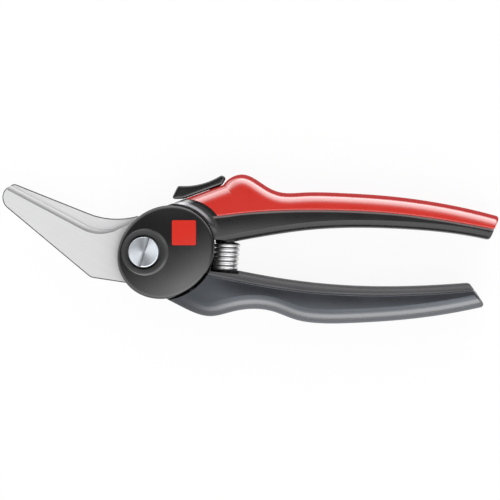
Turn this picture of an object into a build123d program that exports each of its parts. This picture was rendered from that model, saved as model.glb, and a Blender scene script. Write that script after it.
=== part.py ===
from build123d import *

import os
from math import cos, radians, sin, sqrt

# Angled utility snips, lying on their back. The pivot axis is Z, the blades point to -X and the handles
# to +X. The upper handle is on the +Y side and carries the front blade; the lower handle carries the rear
# blade. Z = 0 is the flat back that the snips rest on. All lengths are in millimetres.

# Stack along the pivot, from the back to the front
nut_recess = 0.7
nut_thickness = 2.5
nut_washer_thickness = 0.75
running_gap = 0.05
plate_thickness = 2.0
blade_thickness = 2.5
blade_gap = 0.05
front_cover_thickness = 4.6
dome_rise = 1.6

# Oval hub
hub_centre = (8.6, 0.0)
hub_long_radius = 19.4
hub_short_radius = 17.2
hub_turn = 36.5
hub_gap = 0.6
hub_rim_round = 1.5
plate_inset = 1.2
crescent_long_radius = 24.0
crescent_short_radius = 18.2
opening_angle = 25.0

# Pivot hardware
shank_radius = 3.0
bush_wall = 1.0
head_radius = 5.9
head_thickness = 2.3
head_round = 0.5
slot_width = 1.2
slot_depth = 1.1
slot_turn = 72.0
head_margin = 0.7
dish_width = 2.7
dish_depth = 2.1
disc_spring_inset = 0.3
disc_spring_height = 1.0
disc_spring_sheet = 0.6
nut_across_flats = 10.0
nut_washer_radius = 6.0
nut_well_margin = 1.0
seat_gap = 0.03

# Badge inlay on the front cover
badge_centre = (15.5, 7.4)
badge_width = 9.2
badge_height = 9.6
badge_thickness = 0.7
badge_corner = 0.6

# Blades
blade_hub_radius = 12.9
jaw_sink = 0.15
shoulder_tip = (-52.4, 23.9)
shoulder_corner = (-17.0, 5.1)
shoulder_end = (0.0, 13.7)
shoulder_round = 15.0
bevel_width = 2.0
ricasso_width = 0.8
edge_land = 0.4
grinding_radius = 3.2
blade_overlap = 2.4
rim_width = 0.4
rim_depth = 0.7
front_tip_low = (-52.6, 17.0)
spine_corner = (-20.5, -9.8)
spine_corner_round = 4.0
spine_hub_angle = -99.0
rear_tip_corner = (-50.9, 26.7)
rear_tip_round = 2.0
rear_spine_end = (-21.6, 15.0)
rear_spine_dip = (-12.3, 12.9)
rear_spine_hub_angle = 101.0
rear_spine_stand = 1.25
rear_blend_angle = 70.0
rear_heel_hub_angle = 196.0
tang_hole_radius = 1.8
tang_hole_shares = (0.6, 0.95)
upper_tang = dict(root=(8.0, 6.5), root_radius=5.0, end=(58.0, 13.6), end_radius=3.6)
lower_tang = dict(root=(10.0, -10.0), root_radius=4.2, end=(56.0, -16.2), end_radius=3.0)

# Handles
core_step = 1.5
core_round = 3.0
grip_round = 5.5
grip_wall = 3.0
grip_lip_round = 0.5
mould_gap = 0.1
tongue_root = 1.0
tongue_setback = 9.0
end_round = 1.2

# Thumb latch and its straight bed on the upper handle
bed_origin = (15.6, 20.4)
bed_angle = 20.0
bed_back = 7.0
bed_length = 16.0
hump_rise = 1.2
hump_reach = (2.2, 8.3)
latch_travel = 4.5
latch_width = 8.6
latch_clearance = 0.3
latch_sole_gap = 0.08
latch_round = 0.8
latch_rim_round = 0.7
latch_saddle = [(16.7, 3.95), (7.7, 3.45), (-0.6, 5.8)]
latch_nose = (-5.0, 1.65)
latch_sole = (-0.3, 15.6)
latch_heel = (18.1, 2.15)
stem_place = 12.5
stem_length = 4.0
stem_width = 4.0
stem_depth = 6.8
latch_pin_radius = 1.0
latch_pin_length = 8.0
latch_pin_depth = 5.0
leaf_thickness = 0.35
leaf_width = 3.4
leaf_rise = 0.5

# Coil spring between the handles
spring_foot = (31.0, -8.0)
spring_head = (32.3, 4.4)
spring_radius = 5.0
spring_wire = 1.6
spring_coils = 6.0
spring_play = 0.15
spring_margin = 0.4
stud_clearance = 0.7
stud_height = 3.5

# Sizes and heights that follow
bush_radius = shank_radius + bush_wall
head_well_radius = head_radius + head_margin
dish_radius = head_well_radius + dish_width
disc_spring_radius = head_radius - disc_spring_inset
nut_well_radius = nut_washer_radius + nut_well_margin
stud_radius = spring_radius - spring_wire - stud_clearance
nut_washer_z = nut_recess + nut_thickness
rear_cover_thickness = nut_washer_z + nut_washer_thickness + running_gap
lower_plate_z = rear_cover_thickness
rear_blade_z = lower_plate_z + plate_thickness
blade_plane_z = rear_blade_z + blade_thickness
front_blade_z = blade_plane_z + blade_gap
upper_plate_z = front_blade_z + blade_thickness
front_cover_z = upper_plate_z + plate_thickness
hub_top_z = front_cover_z + front_cover_thickness
mid_z = blade_plane_z + blade_gap / 2
handle_thickness = 2 * mid_z
core_thickness = handle_thickness - 2 * core_step
head_z = front_cover_z + disc_spring_height
through = 3 * handle_thickness

bed_along = (cos(radians(bed_angle)), sin(radians(bed_angle)))
bed_plane = Plane((*bed_origin, mid_z), x_dir=(*bed_along, 0), z_dir=(0, 0, 1))


def on_bed(along, away=0.0):
    """A point given by its distance along the latch bed and away from it."""
    x = bed_origin[0] + along * bed_along[0] - away * bed_along[1]
    y = bed_origin[1] + along * bed_along[1] + away * bed_along[0]
    return (x, y)


# Handle outlines: the long curves, named from the hub to the ends
hump = [on_bed(bed_length + reach, hump_rise) for reach in hump_reach]
upper_back = [(43.5, 27.65), (48.5, 24.45), (52.6, 22.95), (61.0, 22.88), (74.0, 22.8), (92.0, 21.72),
              (112.0, 19.15), (142.0, 12.0)]
upper_belly = [(142.0, 2.2), (129.4, 5.4), (98.6, 8.9), (63.9, 8.5), (31.6, 3.4), (19.0, 1.2)]
upper_seam = [(12.0, 12.2), (30.0, 13.85), (42.0, 15.2), (66.0, 16.0), (90.0, 15.2), (110.0, 12.95),
              (126.0, 10.25), (145.0, 6.6)]
upper_end = (133.1, 5.4)
upper_end_turn = -24.0
lower_back = [(4.0, -16.0), (15.4, -21.45), (25.8, -24.65), (33.5, -23.05), (41.5, -21.85), (49.5, -22.8),
              (58.0, -25.9), (66.0, -27.27), (80.0, -27.3), (110.1, -24.8), (142.0, -18.1)]
lower_belly = [(142.0, -10.4), (124.0, -11.9), (87.0, -13.1), (52.4, -10.0), (35.4, -6.9), (18.0, -3.4)]
lower_seam = [(14.0, -6.6), (27.5, -9.3), (49.1, -13.4), (72.6, -16.0), (98.6, -16.4), (145.0, -12.6)]
lower_end = (125.0, -11.9)
lower_end_turn = 35.0

with BuildSketch() as upper_outline:
    with BuildLine():
        bed = Line(on_bed(-bed_back), on_bed(bed_length))
        back = Spline(bed @ 1, *hump, *upper_back)
        Line(back @ 1, upper_belly[0])
        belly = Spline(*upper_belly)
        Line(belly @ 1, bed @ 0)
    make_face()

with BuildSketch() as lower_outline:
    with BuildLine():
        back = Spline(*lower_back)
        Line(back @ 1, lower_belly[0])
        belly = Spline(*lower_belly)
        Line(belly @ 1, back @ 0)
    make_face()


def hub_oval(grow=0.0):
    """The oval outline of the hub, made larger all round."""
    with BuildSketch() as oval:
        with Locations(hub_centre):
            Ellipse(hub_long_radius + grow, hub_short_radius + grow, rotation=hub_turn)
    return oval.sketch


def upper_core_zone(grow=0.0):
    """Where the upper core is bare: below the seam, and the crescent beside the hub cover."""
    with BuildSketch() as zone:
        with BuildLine():
            seam = Spline(*[(x, y + grow) for x, y in upper_seam])
            below = [(x, -hub_long_radius) for x, y in (upper_seam[-1], upper_seam[0])]
            Polyline(seam @ 1, *below, seam @ 0)
        make_face()
        with Locations(hub_centre):
            Ellipse(crescent_long_radius + grow, crescent_short_radius + grow, rotation=hub_turn)
    return zone.sketch


def lower_core_zone(grow=0.0):
    """Where the lower core is bare: above the seam."""
    with BuildSketch() as zone:
        with BuildLine():
            seam = Spline(*[(x, y - grow) for x, y in lower_seam])
            above = [(x, hub_long_radius) for x, y in (lower_seam[-1], lower_seam[0])]
            Polyline(seam @ 1, *above, seam @ 0)
        make_face()
    return zone.sketch


def tongue(outline, outward, bare_zone, end, grow=0.0):
    """The part of a core that lies inside its grip, a wall's thickness in from the outer curve."""
    with BuildSketch() as inner:
        add(outline)
        add(Pos(0, -outward * (grip_wall - grow)) * outline, mode=Mode.INTERSECT)
        add(bare_zone(-tongue_root), mode=Mode.SUBTRACT)
        with Locations((end[0] - tongue_setback + grow, 0)):
            Rectangle(2 * end[0], 2 * end[0], align=(Align.MAX, Align.CENTER), mode=Mode.INTERSECT)
    return inner.sketch


def rounded_handle(outline, thickness, edge_round, outward, rounds_belly, end, end_turn):
    """A handle outline made solid, with its long edges rounded and a slanting, softened end."""
    with BuildPart() as form:
        with BuildSketch(Plane.XY.offset(mid_z - thickness / 2)):
            add(outline)
        extrude(amount=thickness)
        rounded = []
        for rim in form.faces().filter_by(Axis.Z):
            along = rim.edges().sort_by(Axis.X)[1:-1].sort_by(Axis.Y, reverse=outward < 0)
            rounded += along if rounds_belly else along[1:]
        fillet(rounded, edge_round)
        end_normal = (cos(radians(end_turn)), sin(radians(end_turn)), 0)
        split(bisect_by=Plane((*end, mid_z), z_dir=end_normal), keep=Keep.BOTTOM)
        end_face = form.faces().sort_by(Axis((0, 0, 0), end_normal))[-1]
        fillet(end_face.edges(), end_round)
    return form.part


def tang(root, root_radius, end, end_radius, grow=0.0):
    """The hub disc of a blade and the tapered tang that runs from it into a handle."""
    with BuildSketch() as shape:
        with Locations(root):
            Circle(root_radius + grow)
        with Locations(end):
            Circle(end_radius + grow)
        make_hull()
        Circle(blade_hub_radius + grow)
        with Locations(*tang_holes(root, end)):
            Circle(tang_hole_radius - grow, mode=Mode.SUBTRACT)
    return shape.sketch


def tang_holes(root, end):
    """Two places along a tang where the core's plastic grips it."""
    return [tuple(a + (b - a) * share for a, b in zip(root, end)) for share in tang_hole_shares]


# Each bevel is hollowed by a wheel of round section; its shoulder is where the ground face begins
grinding_depth = blade_thickness - edge_land
bevel_chord = sqrt(bevel_width**2 + grinding_depth**2)
wheel_reach = sqrt(grinding_radius**2 - (bevel_chord / 2) ** 2)
wheel_aside = bevel_width / 2 + wheel_reach * grinding_depth / bevel_chord
wheel_lift = wheel_reach * bevel_width / bevel_chord - grinding_depth / 2

edge_along = (Vector(*shoulder_tip) - Vector(*shoulder_corner)).normalized()
edge_out = Vector(edge_along.Y, -edge_along.X)
ricasso_along = (Vector(*shoulder_end) - Vector(*shoulder_corner)).normalized()
ricasso_out = Vector(-ricasso_along.Y, ricasso_along.X)
shoulder_spread = sin(radians(edge_along.get_angle(ricasso_along)))


def beside_shoulder(edge_width, ricasso_width, past_tip=0.0):
    """Tip, corner and end of a line set off from the front bevel's shoulder."""
    shift = edge_along * ricasso_width + ricasso_along * edge_width
    line = [
        Vector(*shoulder_tip) + edge_out * edge_width + edge_along * past_tip,
        Vector(*shoulder_corner) + shift * (1 / shoulder_spread),
        Vector(*shoulder_end) + ricasso_out * ricasso_width,
    ]
    return [(point.X, point.Y) for point in line]


edge_tip, edge_corner, ricasso_end = beside_shoulder(bevel_width, ricasso_width)
wheel_tip, wheel_corner, wheel_end = beside_shoulder(wheel_aside, wheel_aside, grinding_radius)
rear_edge = bevel_width - blade_overlap
rear_wheel = rear_edge + bevel_width - wheel_aside
rear_tip, rear_heel = beside_shoulder(rear_edge, ricasso_width)[:2]
rear_wheel_tip, rear_wheel_heel = beside_shoulder(rear_wheel, ricasso_width, grinding_radius)[:2]


def wheel_run(path):
    """The space that the grinding wheel clears on its way along a path."""
    with BuildPart() as run:
        with BuildSketch(Plane(path @ 0, z_dir=path % 0)):
            Circle(grinding_radius)
        sweep(path=path)
    return run.part


def stamped_rim(blade, marks):
    """Takes the corner off a blade's front, along the outline edges that lie nearest to the given points."""
    front = blade.faces().sort_by(Axis.Z)[-1]
    height = front.center().Z
    edges = [front.edges().sort_by_distance((*mark, height))[0] for mark in marks]
    chamfer(edges, rim_width, rim_depth, reference=front)


def hub_point(angle, beyond=-jaw_sink):
    """A point at an angle round the pivot, where a jaw runs into the blades' hub circle or stands beyond it."""
    reach = blade_hub_radius + beyond
    return (reach * cos(radians(angle)), reach * sin(radians(angle)))


# Front blade: the broad lower jaw, hollow ground on its front
with BuildPart() as lower_blade:
    with BuildSketch(Plane.XY.offset(front_blade_z)):
        with BuildLine():
            FilletPolyline(edge_tip, edge_corner, ricasso_end, radius=shoulder_round - bevel_width)
            spine = Polyline(ricasso_end, (0, 0), hub_point(spine_hub_angle), spine_corner, front_tip_low)
            TangentArc(front_tip_low, edge_tip, tangent=spine % 1)
        jaw = make_face()
        fillet(jaw.vertices().sort_by_distance((*spine_corner, 0))[0], spine_corner_round)
    extrude(amount=blade_thickness)
    stamped_rim(lower_blade, [spine_corner])
    with BuildSketch(Plane.XY.offset(front_blade_z)):
        add(tang(**upper_tang))
    extrude(amount=blade_thickness)
    with BuildSketch(Plane.XY.offset(front_blade_z)):
        Circle(bush_radius + seat_gap)
    extrude(amount=blade_thickness, mode=Mode.SUBTRACT)
    with BuildLine(Plane.XY.offset(upper_plate_z + wheel_lift)):
        front_path = FilletPolyline(wheel_tip, wheel_corner, wheel_end, radius=shoulder_round - wheel_aside)
    add(wheel_run(front_path), mode=Mode.SUBTRACT)

# Rear blade: the upper jaw, hollow ground on its back
with BuildPart() as upper_blade:
    with BuildSketch(Plane.XY.offset(rear_blade_z)):
        with BuildLine():
            Polyline(rear_heel, rear_tip, rear_tip_corner, rear_spine_end)
            spine_root = hub_point(rear_spine_hub_angle, rear_spine_stand)
            ThreePointArc(rear_spine_end, rear_spine_dip, spine_root)
            Polyline(spine_root, hub_point(rear_blend_angle), (0, 0), hub_point(rear_heel_hub_angle), rear_heel)
        jaw = make_face()
        fillet(jaw.vertices().sort_by_distance((*rear_tip_corner, 0))[0], rear_tip_round)
    extrude(amount=blade_thickness)
    stamped_rim(upper_blade, [rear_tip_corner, rear_spine_dip])
    with BuildSketch(Plane.XY.offset(rear_blade_z)):
        add(tang(**lower_tang))
    extrude(amount=blade_thickness)
    with BuildSketch(Plane.XY.offset(rear_blade_z)):
        Circle(bush_radius + running_gap)
    extrude(amount=blade_thickness, mode=Mode.SUBTRACT)
    with BuildLine(Plane.XY.offset(rear_blade_z - wheel_lift)):
        rear_path = Line(rear_wheel_heel, rear_wheel_tip)
    add(wheel_run(rear_path), mode=Mode.SUBTRACT)

# The coil spring's axis, and a frame at each of its seats with Y pointing into the spring
spring_axis = Vector(*spring_head) - Vector(*spring_foot)
spring_across = Vector(spring_axis.Y, -spring_axis.X)
foot_frame = Plane((*spring_foot, mid_z), x_dir=spring_across, z_dir=(0, 0, 1))
head_frame = Plane((*spring_head, mid_z), x_dir=-spring_across, z_dir=(0, 0, 1))
notch_width = 2 * (spring_radius + spring_margin)
notch_depth = spring_axis.length / 2

# Slot for the latch's stem, with room below for the leaf spring
slot_floor = stem_depth + latch_clearance + leaf_thickness + leaf_rise
slot_length = stem_length + latch_travel + 2 * latch_clearance
slot_middle = stem_place - latch_travel / 2
pin_slot_length = latch_travel + 2 * (latch_pin_radius + latch_clearance)
pin_slot_height = 2 * (latch_pin_radius + latch_clearance)


def seam_edges(faces, seam):
    """The long edges where a grip's front and back end at its seam."""
    flats = faces.filter_by(Axis.Z).sort_by(Axis.Z)
    middle = seam[len(seam) // 2]
    return [
        flats[0].edges().sort_by_distance((*middle, 0))[0],
        flats[-1].edges().sort_by_distance((*middle, handle_thickness))[0],
    ]


def latch_slot():
    """The slot that the latch's stem slides in."""
    with BuildPart() as slot:
        with BuildSketch(bed_plane):
            with Locations((slot_middle, -slot_floor)):
                Rectangle(slot_length, 2 * slot_floor, align=(Align.CENTER, Align.MIN))
        extrude(amount=stem_width / 2 + latch_clearance, both=True)
    return slot.part


with BuildPart() as upper_handle_core:
    add(rounded_handle(upper_outline.sketch, core_thickness, core_round, 1, True, upper_end, upper_end_turn))
    with BuildSketch():
        add(upper_core_zone())
    extrude(amount=through, mode=Mode.INTERSECT)
    with BuildSketch(Plane.XY.offset(grip_wall)):
        add(tongue(upper_outline.sketch, 1, upper_core_zone, upper_end))
    extrude(amount=handle_thickness - 2 * grip_wall)
    with BuildSketch(Plane.XY.offset(front_cover_z)):
        add(hub_oval(hub_gap))
    extrude(amount=through, mode=Mode.SUBTRACT)
    for share in (0, 0.5, 1):
        with BuildSketch():
            add(Rot(0, 0, -opening_angle * share) * hub_oval(hub_gap))
        extrude(amount=front_blade_z, mode=Mode.SUBTRACT)
    with BuildSketch(Plane.XY.offset(upper_plate_z)):
        add(hub_oval(-plate_inset))
        Circle(bush_radius + seat_gap, mode=Mode.SUBTRACT)
    extrude(amount=plate_thickness)
    with BuildSketch(Plane.XY.offset(front_blade_z)):
        add(tang(**upper_tang, grow=seat_gap))
    extrude(amount=blade_thickness, mode=Mode.SUBTRACT)
    with BuildSketch(head_frame):
        Rectangle(notch_width, notch_depth, align=(Align.CENTER, Align.MIN))
    extrude(amount=through, both=True, mode=Mode.SUBTRACT)
    with BuildSketch(Plane(head_frame.origin, z_dir=-spring_axis)):
        Circle(stud_radius)
    extrude(amount=stud_height)
    add(latch_slot(), mode=Mode.SUBTRACT)
    with BuildSketch(bed_plane):
        with Locations((slot_middle, -latch_pin_depth)):
            SlotOverall(pin_slot_length, pin_slot_height)
    extrude(amount=latch_pin_length / 2 + latch_clearance, both=True, mode=Mode.SUBTRACT)

with BuildPart() as upper_grip:
    add(rounded_handle(upper_outline.sketch, handle_thickness, grip_round, 1, False, upper_end, upper_end_turn))
    with BuildSketch():
        add(upper_core_zone(mould_gap))
    extrude(amount=through, mode=Mode.SUBTRACT)
    with BuildSketch(Plane.XY.offset(grip_wall - mould_gap)):
        add(tongue(upper_outline.sketch, 1, upper_core_zone, upper_end, mould_gap))
    extrude(amount=handle_thickness - 2 * (grip_wall - mould_gap), mode=Mode.SUBTRACT)
    add(latch_slot(), mode=Mode.SUBTRACT)
    fillet(seam_edges(upper_grip.faces(), upper_seam), grip_lip_round)

def lower_hub_room():
    """Room in the lower handle for the hub covers and the front blade; a ledge stays between them."""
    with BuildPart() as room:
        with BuildSketch():
            add(hub_oval(hub_gap))
        extrude(amount=lower_plate_z)
        with BuildSketch(Plane.XY.offset(blade_plane_z)):
            add(hub_oval(hub_gap))
        extrude(amount=through)
    return room.part


with BuildPart() as lower_handle_core:
    add(rounded_handle(lower_outline.sketch, core_thickness, core_round, -1, True, lower_end, lower_end_turn))
    with BuildSketch():
        add(lower_core_zone())
    extrude(amount=through, mode=Mode.INTERSECT)
    with BuildSketch(Plane.XY.offset(grip_wall)):
        add(tongue(lower_outline.sketch, -1, lower_core_zone, lower_end))
    extrude(amount=handle_thickness - 2 * grip_wall)
    add(lower_hub_room(), mode=Mode.SUBTRACT)
    with BuildSketch(Plane.XY.offset(lower_plate_z)):
        add(hub_oval(-plate_inset))
        Circle(bush_radius + running_gap, mode=Mode.SUBTRACT)
    extrude(amount=plate_thickness)
    with BuildSketch(Plane.XY.offset(rear_blade_z)):
        add(tang(**lower_tang, grow=seat_gap))
    extrude(amount=blade_thickness, mode=Mode.SUBTRACT)
    with BuildSketch(foot_frame):
        Rectangle(notch_width, notch_depth, align=(Align.CENTER, Align.MIN))
    extrude(amount=through, both=True, mode=Mode.SUBTRACT)
    with BuildSketch(Plane(foot_frame.origin, z_dir=spring_axis)):
        Circle(stud_radius)
    extrude(amount=stud_height)

with BuildPart() as lower_grip:
    add(rounded_handle(lower_outline.sketch, handle_thickness, grip_round, -1, False, lower_end, lower_end_turn))
    with BuildSketch():
        add(lower_core_zone(mould_gap))
        add(hub_oval(mould_gap - plate_inset))
    extrude(amount=through, mode=Mode.SUBTRACT)
    add(lower_hub_room(), mode=Mode.SUBTRACT)
    with BuildSketch(Plane.XY.offset(grip_wall - mould_gap)):
        add(tongue(lower_outline.sketch, -1, lower_core_zone, lower_end, mould_gap))
    extrude(amount=handle_thickness - 2 * (grip_wall - mould_gap), mode=Mode.SUBTRACT)
    fillet(seam_edges(lower_grip.faces(), lower_seam), grip_lip_round)

# Front cover: a shallow dome over the hub, dished round the screw's head
dome_radius = (hub_long_radius**2 + dome_rise**2) / (2 * dome_rise)
dome_centre = (*hub_centre, hub_top_z - dome_radius)


def dome_height(x, y):
    """Height of the cover's dome above a point of the resting plane."""
    aside = Vector(x - hub_centre[0], y - hub_centre[1]).length
    return dome_centre[2] + sqrt(dome_radius**2 - aside**2)


dish_top = dome_height(0, 0)
dish_floor = dish_top - dish_depth
bowl_z = (dish_radius**2 - head_well_radius**2 + dish_top**2 - dish_floor**2) / (2 * dish_depth)
bowl_radius = sqrt(dish_radius**2 + (bowl_z - dish_top) ** 2)
badge_far_corner = (badge_centre[0] + badge_width / 2, badge_centre[1] + badge_height / 2)
badge_floor = dome_height(*badge_far_corner) - badge_thickness

with BuildPart() as front_hub_cover:
    with BuildSketch(Plane.XY.offset(front_cover_z)):
        add(hub_oval())
    extrude(amount=front_cover_thickness)
    with Locations(dome_centre):
        Sphere(dome_radius, mode=Mode.INTERSECT)
    fillet(front_hub_cover.faces().sort_by(Axis.Z)[-1].edges(), hub_rim_round)
    with Locations((0, 0, bowl_z)):
        Sphere(bowl_radius, mode=Mode.SUBTRACT)
    with BuildSketch(Plane.XY.offset(front_cover_z)):
        Circle(head_well_radius)
    extrude(amount=through, mode=Mode.SUBTRACT)
    with BuildSketch(Plane.XY.offset(badge_floor)):
        with Locations(badge_centre):
            RectangleRounded(badge_width + 2 * mould_gap, badge_height + 2 * mould_gap, badge_corner)
    extrude(amount=through, mode=Mode.SUBTRACT)

with BuildPart() as hub_badge:
    with BuildSketch(Plane.XY.offset(badge_floor)):
        with Locations(badge_centre):
            RectangleRounded(badge_width, badge_height, badge_corner)
    extrude(amount=through)
    with Locations(dome_centre):
        Sphere(dome_radius, mode=Mode.INTERSECT)

with BuildPart() as rear_hub_cover:
    with BuildSketch():
        add(hub_oval())
    extrude(amount=rear_cover_thickness)
    fillet(rear_hub_cover.faces().sort_by(Axis.Z)[0].edges(), hub_rim_round)
    with BuildSketch():
        Circle(nut_well_radius)
    extrude(amount=rear_cover_thickness, mode=Mode.SUBTRACT)

# Pivot hardware: all of it turns with the upper half, and the lower half turns on the bush
with BuildPart() as pivot_screw:
    with BuildSketch(Plane.XY.offset(nut_recess)):
        Circle(shank_radius)
    extrude(amount=head_z - nut_recess)
    with BuildSketch(Plane.XY.offset(head_z)):
        Circle(head_radius)
    extrude(amount=head_thickness)
    fillet(pivot_screw.faces().sort_by(Axis.Z)[-1].edges(), head_round)
    with BuildSketch(Plane.XY.offset(head_z + head_thickness)):
        Rectangle(through, slot_width, rotation=slot_turn)
    extrude(amount=-slot_depth, mode=Mode.SUBTRACT)

with BuildPart() as pivot_bush:
    with BuildSketch(Plane.XY.offset(lower_plate_z)):
        Circle(bush_radius)
        Circle(shank_radius + seat_gap, mode=Mode.SUBTRACT)
    extrude(amount=front_cover_z - lower_plate_z)

with BuildPart() as spring_washer:
    with BuildSketch(Plane.XZ):
        with BuildLine():
            inner = shank_radius + running_gap
            Polyline(
                (inner, head_z - disc_spring_sheet),
                (disc_spring_radius, front_cover_z),
                (disc_spring_radius, front_cover_z + disc_spring_sheet),
                (inner, head_z),
                close=True,
            )
        make_face()
    revolve(axis=Axis.Z)

with BuildPart() as nut_washer:
    with BuildSketch(Plane.XY.offset(nut_washer_z)):
        Circle(nut_washer_radius)
        Circle(shank_radius + running_gap, mode=Mode.SUBTRACT)
    extrude(amount=nut_washer_thickness)

with BuildPart() as pivot_nut:
    with BuildSketch(Plane.XY.offset(nut_recess)):
        RegularPolygon(nut_across_flats / 2, 6, major_radius=False)
        Circle(shank_radius + seat_gap, mode=Mode.SUBTRACT)
    extrude(amount=nut_thickness)

# Coil spring, pressed together between the two seats
coil_radius = spring_radius - spring_wire / 2
coil_height = spring_axis.length - spring_wire - 2 * spring_play
coil_start = Vector(*spring_foot, mid_z) + spring_axis.normalized() * (spring_play + spring_wire / 2)

with BuildPart() as handle_spring:
    with BuildLine():
        coil = Helix(coil_height / spring_coils, coil_height, coil_radius, coil_start, spring_axis)
    with BuildSketch(Plane(coil @ 0, z_dir=coil % 0)):
        RegularPolygon(spring_wire / 2, 8)
    sweep(is_frenet=True)

# Thumb latch: a saddle for the thumb on a stem that slides in the upper handle
with BuildPart() as thumb_latch:
    with BuildSketch(bed_plane):
        with BuildLine():
            saddle = ThreePointArc(*latch_saddle)
            sole = [(along, latch_sole_gap) for along in latch_sole]
            Polyline(saddle @ 1, latch_nose, *sole, latch_heel, saddle @ 0)
        pad = make_face()
        fillet(pad.vertices(), latch_round)
    extrude(amount=latch_width / 2, both=True)
    rims = thumb_latch.faces().filter_by(Axis.Z).edges()
    fillet(rims, latch_rim_round)
    with BuildSketch(bed_plane):
        with Locations((stem_place, -stem_depth)):
            Rectangle(stem_length, stem_depth + 2 * latch_clearance, align=(Align.CENTER, Align.MIN))
    extrude(amount=stem_width / 2, both=True)
    with BuildSketch(bed_plane):
        with Locations((stem_place, -latch_pin_depth)):
            Circle(latch_pin_radius + seat_gap)
    extrude(amount=through, both=True, mode=Mode.SUBTRACT)

with BuildPart() as latch_pin:
    with BuildSketch(bed_plane):
        with Locations((stem_place, -latch_pin_depth)):
            Circle(latch_pin_radius)
    extrude(amount=latch_pin_length / 2, both=True)

with BuildPart() as latch_leaf_spring:
    with BuildSketch(bed_plane):
        with BuildLine():
            half = slot_length / 2 - latch_clearance
            low = -slot_floor
            crest = low + leaf_rise
            under = ThreePointArc((slot_middle - half, low), (slot_middle, crest), (slot_middle + half, low))
            top = ThreePointArc(
                (slot_middle + half, low + leaf_thickness),
                (slot_middle, crest + leaf_thickness),
                (slot_middle - half, low + leaf_thickness),
            )
            Line(under @ 1, top @ 0)
            Line(top @ 1, under @ 0)
        make_face()
    extrude(amount=leaf_width / 2, both=True)

pieces = {
    "lower_blade": lower_blade,
    "upper_blade": upper_blade,
    "upper_handle_core": upper_handle_core,
    "upper_grip": upper_grip,
    "lower_handle_core": lower_handle_core,
    "lower_grip": lower_grip,
    "front_hub_cover": front_hub_cover,
    "hub_badge": hub_badge,
    "rear_hub_cover": rear_hub_cover,
    "pivot_screw": pivot_screw,
    "pivot_bush": pivot_bush,
    "spring_washer": spring_washer,
    "nut_washer": nut_washer,
    "pivot_nut": pivot_nut,
    "handle_spring": handle_spring,
    "thumb_latch": thumb_latch,
    "latch_pin": latch_pin,
    "latch_leaf_spring": latch_leaf_spring,
}

os.makedirs("parts", exist_ok=True)
for name, piece in pieces.items():
    piece.part.label = name
    export_step(piece.part, f"parts/{name}.step")
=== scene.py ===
# %% [markdown]
# # Angled utility snips
# A hand tool lies on its back, closed, and is looked at from straight above. The solid model gives every
# piece its shape and place. This lesson sets up a plain studio, gives each piece its finish, closes the
# view behind the spring, winds the coil spring as a mesh of its own, and rounds the thumb latch as use
# would. Everything is in metres.

# %% Load the solid model
from math import atan2, cos, pi, radians, sin
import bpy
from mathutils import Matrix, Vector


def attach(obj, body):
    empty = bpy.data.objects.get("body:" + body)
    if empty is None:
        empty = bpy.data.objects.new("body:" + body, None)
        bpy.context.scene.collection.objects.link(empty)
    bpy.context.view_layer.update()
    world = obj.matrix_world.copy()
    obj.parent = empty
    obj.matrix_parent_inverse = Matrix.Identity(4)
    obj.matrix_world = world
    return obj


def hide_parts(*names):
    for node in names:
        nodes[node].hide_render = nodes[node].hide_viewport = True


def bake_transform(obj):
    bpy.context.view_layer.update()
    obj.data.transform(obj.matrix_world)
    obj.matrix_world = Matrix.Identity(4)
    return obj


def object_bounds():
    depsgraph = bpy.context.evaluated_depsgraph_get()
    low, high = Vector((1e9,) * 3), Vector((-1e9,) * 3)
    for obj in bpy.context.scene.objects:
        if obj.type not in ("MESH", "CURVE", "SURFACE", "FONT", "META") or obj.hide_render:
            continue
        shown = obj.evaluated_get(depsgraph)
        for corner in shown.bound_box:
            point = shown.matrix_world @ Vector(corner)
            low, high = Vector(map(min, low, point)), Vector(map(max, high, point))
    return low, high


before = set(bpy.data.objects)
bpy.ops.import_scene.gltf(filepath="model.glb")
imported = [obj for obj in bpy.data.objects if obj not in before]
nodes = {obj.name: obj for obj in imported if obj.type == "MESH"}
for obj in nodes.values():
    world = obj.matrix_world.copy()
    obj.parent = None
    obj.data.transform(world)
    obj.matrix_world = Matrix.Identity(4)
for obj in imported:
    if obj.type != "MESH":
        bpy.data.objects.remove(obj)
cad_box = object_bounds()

from types import SimpleNamespace

import bpy
from mathutils import Matrix, Vector

scene = bpy.context.scene
metre = 1.0
mm = 0.001 * metre
print("nodes:", len(nodes), "box:", [round(x, 4) for corner in cad_box for x in corner])

# %% [markdown]
# ## Camera
# The tool is seen square on from the front, with next to no perspective. A camera with a parallel
# projection could do that, but it takes in no more when it is moved back, and the open handles need more
# room, so a long lens from far away is used.

# %% Camera
frame_width = 192.5 * mm
frame_centre = Vector((40.8 * mm, 0.8 * mm, 9.5 * mm))
lens_length = 250.0
sight_limit = 10.0

camera_data = bpy.data.cameras.new("camera")
camera_data.lens = lens_length
camera_data.clip_end = sight_limit
camera = bpy.data.objects.new("camera", camera_data)
scene.collection.objects.link(camera)
camera_height = frame_width * lens_length / camera_data.sensor_width
camera.location = frame_centre + Vector((0, 0, camera_height))
scene.camera = camera
print("camera is", round(camera_height, 3), "m above the blades")

# %% [markdown]
# ## Floor
# The tool lies on a white table. One plane will do, so wide that its border stays far from the tool.
# Colours have to come out as they are written, so the view transform is the plain one.

# %% Floor
scene.view_settings.view_transform = "Standard"
floor_size = 6.0
bpy.ops.object.select_all(action="DESELECT")
bpy.ops.mesh.primitive_plane_add(size=floor_size, location=(frame_centre.x, frame_centre.y, cad_box[0].z))
floor = bpy.context.object
floor.name = "floor"
print("floor at z", round(cad_box[0].z, 5))

# %% [markdown]
# ## White paper
# The table is covered with white paper, whose fibres differ a little in shade. A material is a graph of
# nodes, and wiring each one by hand would hide what the graph does, so three helpers come first: one adds
# a node, one starts a material and one mixes two colours.


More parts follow.
